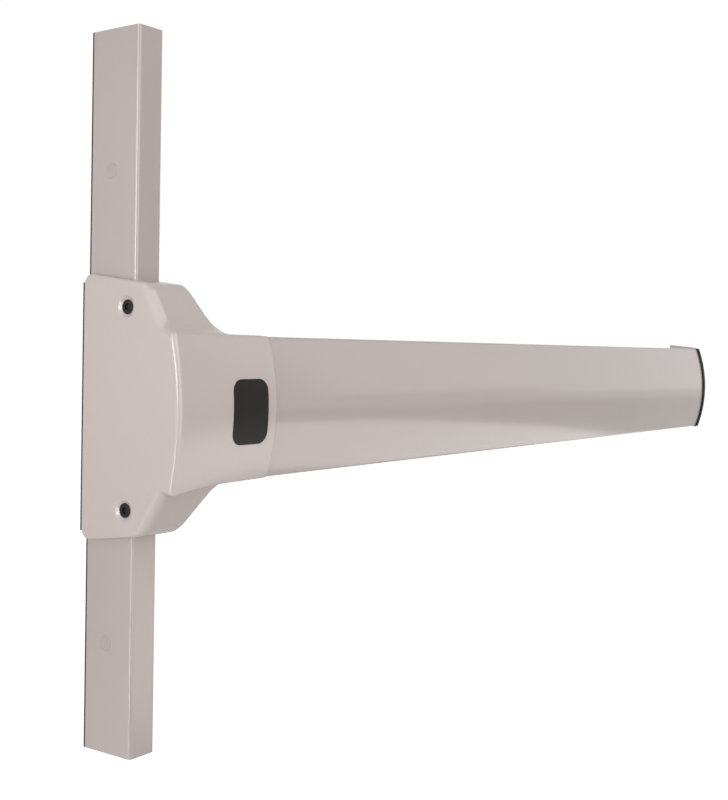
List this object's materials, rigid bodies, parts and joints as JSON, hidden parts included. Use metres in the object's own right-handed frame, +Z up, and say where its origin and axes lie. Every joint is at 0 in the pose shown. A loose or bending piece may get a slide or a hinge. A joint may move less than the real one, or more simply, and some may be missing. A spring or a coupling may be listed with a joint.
{
  "type": "vertical rod panic bar",
  "caption": "Door panic bar for surface vertical rods: a touch bar slides in on its rail, swings bell cranks and levers, and draws the top and bottom rods inside their covers.",
  "frame": {"origin": "on the door face, where the rods' centre line crosses the bar's centre line", "axes": "+X along the door towards the hinge side, -Y out of the door into the room, +Z up"},
  "size_m": [0.858, 0.082, 0.435],
  "materials": {
    "case_paint": "satin silver-grey paint",
    "cover_paint": "satin silver-grey paint on thin channel",
    "bar_paint": "satin silver-grey paint on extruded aluminium",
    "gasket_rubber": "matt",
    "black_plastic": "fine grain",
    "badge_plastic": "semi-gloss",
    "white_nylon": "moulded",
    "black_screw": "black oxide",
    "grey_plug": "painted rivet head",
    "zinc_plate": "zinc-plated sheet",
    "pressed_steel": "pressed, plated",
    "turned_steel": "turned bright",
    "zinc_screw": "zinc-plated",
    "spring_wire": "drawn wire"
  },
  "bodies": {
    "chassis": {"base_plate": "zinc_plate", "case_cover": "case_paint", "case_gasket": "gasket_rubber", "cover_screws": "black_screw", "badge": "badge_plastic", "rail": "zinc_plate", "rail_screws": "zinc_screw", "end_bracket": "zinc_plate", "crank_pivot_pins": "turned_steel", "spring_anchor": "zinc_plate", "return_spring": "spring_wire", "lever_studs": "turned_steel", "lever_clips": "zinc_screw", "cover_plugs": "grey_plug", "upper_rod_cover": "cover_paint", "upper_cover_gasket": "gasket_rubber", "upper_cover_clip": "zinc_plate", "upper_rod_guide": "white_nylon", "lower_rod_cover": "cover_paint", "lower_cover_gasket": "gasket_rubber", "lower_cover_clip": "zinc_plate", "lower_rod_guide": "white_nylon"},
    "push_bar": {"touch_bar": "bar_paint", "bar_end_sleeve": "black_plastic", "end_cap": "black_plastic", "end_cap_latch": "case_paint", "left_push_bracket": "zinc_plate", "right_push_bracket": "zinc_plate", "bracket_screws": "zinc_screw"},
    "left_crank_arm": {"left_crank": "pressed_steel", "left_crank_pins": "turned_steel"},
    "right_crank_arm": {"right_crank": "pressed_steel", "right_crank_pins": "turned_steel"},
    "link": {"link_bar": "zinc_plate", "drive_plate": "zinc_plate", "link_lug": "zinc_plate", "link_rivets": "turned_steel", "spring_rod": "turned_steel"},
    "top_lever_arm": {"top_lever": "pressed_steel", "top_lever_pins": "turned_steel"},
    "bottom_lever_arm": {"bottom_lever": "pressed_steel", "bottom_lever_pins": "turned_steel"},
    "top_bolt_rod": {"top_rod": "turned_steel", "top_rod_shoe": "pressed_steel", "top_rod_nut": "turned_steel"},
    "bottom_bolt_rod": {"bottom_rod": "turned_steel", "bottom_rod_shoe": "pressed_steel", "bottom_rod_nut": "turned_steel"}
  },
  "joints": [
    {"name": "pad_push", "type": "slide", "parent": "chassis", "child": "push_bar", "axis": [0, 1, 0], "range_m": [0, 0.016], "stiffness_N_per_m": 1500, "springref_m": -0.012},
    {"name": "left_crank_turn", "type": "hinge", "parent": "chassis", "child": "left_crank_arm", "pos_m": [0.24, -0.038, 0], "axis": [0, 0, -1], "range_deg": [0, 40]},
    {"name": "right_crank_turn", "type": "hinge", "parent": "chassis", "child": "right_crank_arm", "pos_m": [0.66, -0.038, 0], "axis": [0, 0, -1], "range_deg": [0, 40]},
    {"name": "link_slide", "type": "slide", "parent": "chassis", "child": "link", "axis": [1, 0, 0], "range_m": [0, 0.016], "deforming": ["return_spring"]},
    {"name": "top_lever_turn", "type": "hinge", "parent": "chassis", "child": "top_lever_arm", "pos_m": [0.0225, -0.02, 0.032], "axis": [0, -1, 0], "range_deg": [0, 40]},
    {"name": "bottom_lever_turn", "type": "hinge", "parent": "chassis", "child": "bottom_lever_arm", "pos_m": [0.0225, -0.02, -0.032], "axis": [0, 1, 0], "range_deg": [0, 40]},
    {"name": "top_rod_slide", "type": "slide", "parent": "chassis", "child": "top_bolt_rod", "axis": [0, 0, -1], "range_m": [0, 0.016]},
    {"name": "bottom_rod_slide", "type": "slide", "parent": "chassis", "child": "bottom_bolt_rod", "axis": [0, 0, 1], "range_m": [0, 0.016]}
  ],
  "couplings": [
    {"joint": "left_crank_turn", "follows": "pad_push", "rad_per_m": 43.633},
    {"joint": "right_crank_turn", "follows": "pad_push", "rad_per_m": 43.633},
    {"joint": "link_slide", "follows": "pad_push", "ratio": 1},
    {"joint": "top_lever_turn", "follows": "pad_push", "rad_per_m": 43.633},
    {"joint": "bottom_lever_turn", "follows": "pad_push", "rad_per_m": 43.633},
    {"joint": "top_rod_slide", "follows": "pad_push", "ratio": 1},
    {"joint": "bottom_rod_slide", "follows": "pad_push", "ratio": 1}
  ]
}
